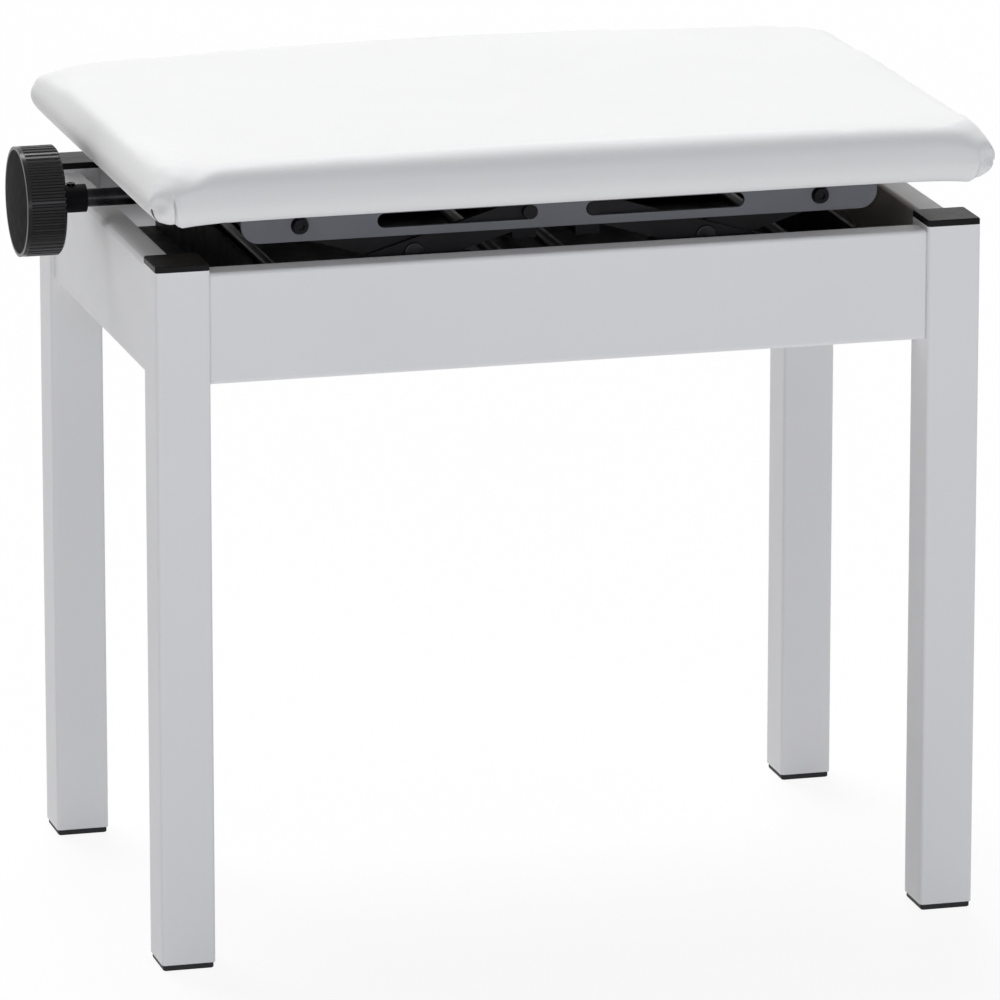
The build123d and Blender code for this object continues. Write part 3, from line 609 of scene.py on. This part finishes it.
padCloth = {
    "pressure": 4.0,
    "stretch": 20.0,
    "bending": 1.5,
    "mass": 0.3,
    "quality": 5,
    "frames": 20,
    "held": (0.002, 0.0095),  # held below the first height, and on undersides below the second
    "cap": 0.0020,            # the most that the pad swells
}


def blowUp(piece, p, low):
    edge, under = p["held"]
    held = piece.vertex_groups.new(name="held")
    held.add([v.index for v in piece.data.vertices if v.co.z < low.z + under and
              (v.normal.z < -0.9 or v.co.z < low.z + edge)], 1.0, "REPLACE")
    rest = [v.co.copy() for v in piece.data.vertices]
    cloth = piece.modifiers.new("cloth", "CLOTH")
    cloth.settings.quality = p["quality"]
    cloth.settings.mass = p["mass"]
    cloth.settings.tension_stiffness = p["stretch"]
    cloth.settings.compression_stiffness = p["stretch"]
    cloth.settings.bending_stiffness = p["bending"]
    cloth.settings.vertex_group_mass = "held"
    cloth.settings.use_pressure = True
    cloth.settings.uniform_pressure_force = p["pressure"]
    cloth.settings.effector_weights.gravity = 0.0
    cloth.point_cache.frame_start = 1
    cloth.point_cache.frame_end = p["frames"]
    for step in range(1, p["frames"] + 1):
        scene.frame_set(step)
    blown = bakedMesh(piece)
    piece.modifiers.clear()
    scene.frame_set(1)
    for vert, start in zip(blown.vertices, rest):
        move = vert.co - start
        if move.length > 1e-7:
            vert.co = start + move.normalized() * p["cap"] * math.tanh(move.length / p["cap"])
    piece.data = blown


padFit = {
    "samples": 90,            # points on the drawn side
    "depth": 0.026,           # how far in from the outline the side reaches
    "reach": 0.004,           # points farther than this from the drawn form stay
    "sideSpan": (0.0005, 0.0040),     # below the crown, where the side takes over
    "topSpan": (0.008, 0.016),        # in from the outline, where the crown takes over
    "looseFrom": 0.0015,
    "shoulderFrom": 0.022,
    "shoulderTilt": (0.15, 0.995),
}


def smoothed(bm, verts, turns):
    for turn in range(turns):
        bmesh.ops.smooth_vert(bm, verts=verts, factor=0.5, use_axis_x=True, use_axis_y=True, use_axis_z=True)


def fitPad(bm, p, fit, low, high):  # draws the blown pad towards the rows and the crown
    rows = p["rows"]
    middle, half = (low + high) / 2, (high - low) / 2
    loose = [v for v in bm.verts if v.co.z > low.z + fit["looseFrom"] and v.normal.z > -0.95]
    smoothed(bm, loose, p["smoothing"])
    heights = [rows[-1][0] * k / fit["samples"] for k in range(fit["samples"] + 1)]
    line = [(*rowAt(rows, height)[:2], height) for height in heights]
    for v in bm.verts:
        height = min(max(v.co.z - low.z, 0.0), rows[-1][0])
        endDraw, sideDraw, bend = rowAt(rows, height)
        side = Vector((math.copysign(1.0, v.co.x - middle.x), math.copysign(1.0, v.co.y - middle.y)))
        over = Vector((abs(v.co.x - middle.x) - half.x + endDraw + bend,
                       abs(v.co.y - middle.y) - half.y + sideDraw + bend))
        if over.x > 0 and over.y > 0:
            gap, way = over.length - bend, over.normalized()
        elif over.x > over.y:
            gap, way = over.x - bend, Vector((1.0, 0.0))
        else:
            gap, way = over.y - bend, Vector((0.0, 1.0))
        inward = endDraw * way.x**2 + sideDraw * way.y**2 - gap
        below = crownAt(p, low, high, v.co) - v.co.z
        if inward < fit["depth"] and v.normal.z > -0.97:
            drawn = [(e * way.x**2 + s * way.y**2, h) for e, s, h in line]
            away = [(inward - d) ** 2 + (height - h) ** 2 for d, h in drawn]
            best = away.index(min(away))
            if best > 0 and away[best] < fit["reach"]**2:
                pull = p["hold"] * smoothStep(below, *fit["sideSpan"])
                step = way * (inward - drawn[best][0]) * pull
                v.co.x += step.x * side.x
                v.co.y += step.y * side.y
                v.co.z += (drawn[best][1] - height) * pull
        if v.normal.z > 0.3 and below < fit["reach"]:
            v.co.z += below * p["hold"] * smoothStep(inward, *fit["topSpan"])
    bm.normal_update()
    steep, level = fit["shoulderTilt"]
    shoulder = [v for v in bm.verts if steep < v.normal.z < level and v.co.z > low.z + fit["shoulderFrom"]]
    smoothed(bm, shoulder, p["evening"])
    lift = high.z - max(v.co.z for v in bm.verts)
    for v in bm.verts:
        share = smoothStep(v.co.z - low.z, *p["rippleSpan"])
        v.co.z += lift * share
        if v.normal.z > -0.5:
            v.co += v.normal * p["ripple"] * share * noise.noise(v.co * p["rippleScale"])


padPleats = {                 # distances run round the corner, from the long side to the end
    "corners": {              # edges of the tucked corner are given at the bottom and at the gauge height
        "frontLeft": {"along": (-1, -1), "sideEdge": (-0.0026, 0.0006), "endEdge": (0.0212, 0.0152),
                      "depth": 0.0006, "slit": 0.0085, "gathers": 0.0, "dip": 0.0024},
        "frontRight": {"along": (1, -1), "sideEdge": (-0.0010, 0.0010), "endEdge": (0.0220, 0.0190),
                       "depth": 0.0006, "slit": 0.0070, "gathers": 0.00090, "dip": 0.0024},
        "rearLeft": {"along": (-1, 1), "sideEdge": (-0.0020, 0.0012), "endEdge": (0.0215, 0.0160),
                     "depth": 0.0009, "slit": 0.0070, "gathers": 0.00020, "dip": 0.0018},
        "rearRight": {"along": (1, 1), "sideEdge": (-0.0030, 0.0004), "endEdge": (0.0200, 0.0150),
                      "depth": 0.0010, "slit": 0.0080, "gathers": 0.0, "dip": 0.0020},
    },
    "gauge": 0.020,
    "bend": 0.0135,           # radius of the corner at its widest
    "top": 0.0235,            # where the tucked corner dies out, above the lower edge
    "arch": 0.004,            # how much the tuck's top falls towards its edges
    "fade": 0.0075,           # height over which the tuck dies out
    "ease": 0.0090,           # the tucked corner runs out into the end over this much
    "lap": 0.0009,            # the lapped panel stands this much proud
    "lapRun": 0.009,
    "crease": 0.0010,         # width of the step from panel to tuck
    "line": 0.0034,           # depth of the dark line along a crease
    "lineWidth": 0.0005,
    "lineShift": 0.0003,
    "slitWidth": 0.0012,
    "slitShift": 0.0012,      # the slit lies this far inside the end edge
    "slitFoot": (0.002, 0.004),
    "slitHead": (0.008, 0.011),
    "slitWay": (0.25, 0.97),  # cut inwards along the seat's length and its depth
    "gatherPitch": 0.0030,
    "gatherFoot": (0.002, 0.008),
    "gatherHead": (0.018, 0.026),
    "dipRun": 0.016,          # the hem's dip dies out along the panel
    "dipHeight": 0.011,
    "dipEdge": 0.004,
    "reach": 0.070,           # farthest that a corner's folds are felt
    "fineReach": 0.007,       # the mesh is finer within this reach of the corner
    "fineCuts": 4,
    "foldHeight": 0.028,      # no fold is felt above this height
    "foldEdge": 0.002,        # nor nearer to the middle of the seat than this from the corner's centre
    "leastTilt": 0.05,        # spots that face straight up or down stay
}


def between(value, foot, head):  # rises over the foot and falls over the head
    return smoothStep(value, *foot) * (1 - smoothStep(value, *head))


def pleatPush(pleats, fold, run, h):  # outward push, slit and hem's dip at a spot on a corner
    width, gauge = pleats["crease"], h / pleats["gauge"]
    start, stop = (low + (high - low) * gauge for low, high in (fold["sideEdge"], fold["endEdge"]))
    off = (run - (start + stop) / 2) / ((stop - start) / 2)
    arch = pleats["top"] - pleats["arch"] * min(off**4, 2.0)
    lower = 1 - smoothStep(h, arch - pleats["fade"], arch)
    inward = smoothStep(run - start, -width / 2, width / 2)
    tucked = inward * smoothStep(stop - run, 0.0, pleats["ease"])
    back = min(run - start, 0.0)
    seam = (run - start - pleats["lineShift"]) / pleats["lineWidth"]
    slit = (run - stop + pleats["slitShift"]) / pleats["slitWidth"]
    wave = math.sin(2 * math.pi * run / pleats["gatherPitch"])
    push = -fold["depth"] * tucked * lower
    push += pleats["lap"] * lower * math.exp(back / pleats["lapRun"]) * (1 - inward)
    push -= pleats["line"] * lower * math.exp(-seam**2)
    push += fold["gathers"] * wave * tucked * between(h, pleats["gatherFoot"], pleats["gatherHead"])
    cut = fold["slit"] * math.exp(-slit**2) * between(h, pleats["slitFoot"], pleats["slitHead"])
    hem = 1 - smoothStep(h, 0.0, pleats["dipHeight"])
    down = fold["dip"] * math.exp(back / pleats["dipRun"]) * hem
    return push, cut, down * smoothStep(start - run, -width, pleats["dipEdge"])


def pleatPad(bm, low, high, pleats):
    middle, half, bend = (low + high) / 2, (high - low) / 2, pleats["bend"]
    slitAcross, slitAlong = pleats["slitWay"]
    for fold in pleats["corners"].values():
        across, along = fold["along"]

        def local(v):  # out along X and out along Y from the corner's centre, and height
            return (across * (v.co.x - middle.x) - half.x + bend,
                    along * (v.co.y - middle.y) - half.y + bend, v.co.z - low.z)

        def near(v, reach):
            u, w, h = local(v)
            return min(u, w) > -reach and max(u, w) > pleats["foldEdge"] and h < pleats["foldHeight"]

        close = {v for v in bm.verts if near(v, pleats["fineReach"]) and v.normal.z > -0.9}
        edges = [e for e in bm.edges if e.verts[0] in close and e.verts[1] in close]
        bmesh.ops.subdivide_edges(bm, edges=edges, cuts=pleats["fineCuts"], use_grid_fill=True)
        bm.normal_update()
        moves = []
        for v in bm.verts:
            if not near(v, pleats["reach"]):
                continue
            flat = Vector((v.normal.x, v.normal.y, 0.0))
            if flat.length < pleats["leastTilt"]:
                continue
            u, w, h = local(v)
            if u <= 0 or w <= 0:
                run = u if u <= w else bend * math.pi / 2 - w
            else:
                run = bend * math.atan2(u, w)
            push, cut, down = pleatPush(pleats, fold, run, h)
            slit = Vector((across * slitAcross * cut, along * slitAlong * cut, down))
            moves.append((v, flat.normalized() * push - slit))
        for v, move in moves:
            v.co += move


def makeSeatPad(p):
    low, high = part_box("seat_cover")
    piece = remeshed(padStart(p, low, high), "seatPadStart", p["voxel"])
    crownPad(piece, p, low, high)
    blowUp(piece, padCloth, low)
    bm = bmesh.new()
    bm.from_mesh(piece.data)
    bm.normal_update()
    fitPad(bm, p, padFit, low, high)
    bm.to_mesh(piece.data)
    bm.free()
    finer = piece.modifiers.new("finer", "SUBSURF")
    finer.levels = 1
    finer.render_levels = 1
    piece.data = bakedMesh(piece)
    piece.modifiers.clear()
    bm = bmesh.new()
    bm.from_mesh(piece.data)
    bm.normal_update()
    board = low.z + p["recess"] / 2
    hidden = [f for f in bm.faces if f.normal.z < -0.999 and f.calc_center_median().z > board]
    bmesh.ops.dissolve_faces(bm, faces=hidden, use_verts=True)  # flat, over the board
    pleatPad(bm, low, high, padPleats)
    bpy.data.objects.remove(piece)
    print("seat pad faces:", len(bm.faces))
    pad = finishPiece(bm, "seatPad", "seat", finishes["seat_vinyl"])
    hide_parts("seat_cover", "seat_foam")


makeSeatPad(seatPad)
print("seat pad made")


# drive screw: left and right threads on one shaft
driveScrew = {
    "lead": 0.004,
    "shaft": 0.0052,         # radius of the plain ends
    "knobChamfer": 0.0006,
    "endChamfer": 0.001,
    "root": 0.0046,          # radius at the thread's bottom
    "crest": 0.0016,         # flat on top of the thread
    "gullet": 0.0012,        # flat at its bottom
    "sides": 24,
    "neck": 0.006,           # half the plain middle
    "threadEnd": 0.126,
}


def makeDriveScrew(d):
    low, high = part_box("drive_screw")
    mid = (low + high) / 2
    radius = (high.z - low.z) / 2
    shaft, root = d["shaft"], d["root"]
    plateLow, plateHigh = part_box("upper_front_plate")
    centreX = (plateLow.x + plateHigh.x) / 2
    left, right = centreX - d["threadEnd"], centreX + d["threadEnd"]
    bm = bmesh.new()
    line = [(low.x, 0.0), (low.x, shaft - d["knobChamfer"]), (low.x + d["knobChamfer"], shaft),
            (left, shaft), (left, root), (right, root), (right, shaft),
            (high.x - d["endChamfer"], shaft), (high.x, shaft - d["endChamfer"]), (high.x, 0.0)]
    spots = [bm.verts.new((x, mid.y, mid.z + r)) for x, r in line]
    core = [bm.edges.new((spots[i], spots[i + 1])) for i in range(len(spots) - 1)]
    bmesh.ops.spin(bm, geom=spots + core, cent=(0, mid.y, mid.z), axis=(1, 0, 0), angle=2 * math.pi,
                   steps=d["sides"] * 2, use_merge=True)
    turns = int((d["threadEnd"] - d["neck"]) / d["lead"]) - 1
    flank = (d["lead"] - d["crest"] - d["gullet"]) / 2
    for across in (-1, 1):
        start = centreX + across * (d["neck"] + d["lead"] / 2)
        steps = [(0.0, root), (d["gullet"], root), (d["gullet"] + flank, radius),
                 (d["gullet"] + flank + d["crest"], radius), (d["lead"], root)]
        spots = [bm.verts.new((start + across * x, mid.y, mid.z + r)) for x, r in steps]
        edges = [bm.edges.new((spots[i], spots[i + 1])) for i in range(len(spots) - 1)]
        bmesh.ops.spin(bm, geom=spots + edges, cent=(0, mid.y, mid.z), axis=(1, 0, 0),
                       dvec=(across * d["lead"] / d["sides"], 0, 0), angle=2 * math.pi * turns,
                       steps=d["sides"] * turns, use_merge=False)
    bmesh.ops.remove_doubles(bm, verts=bm.verts[:], dist=1e-6)
    bmesh.ops.recalc_face_normals(bm, faces=bm.faces[:])
    screw = finishPiece(bm, "driveScrew", "drive", finishes["screw_steel"], smooth=False)
    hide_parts("drive_screw")


makeDriveScrew(driveScrew)
print("drive screw made")
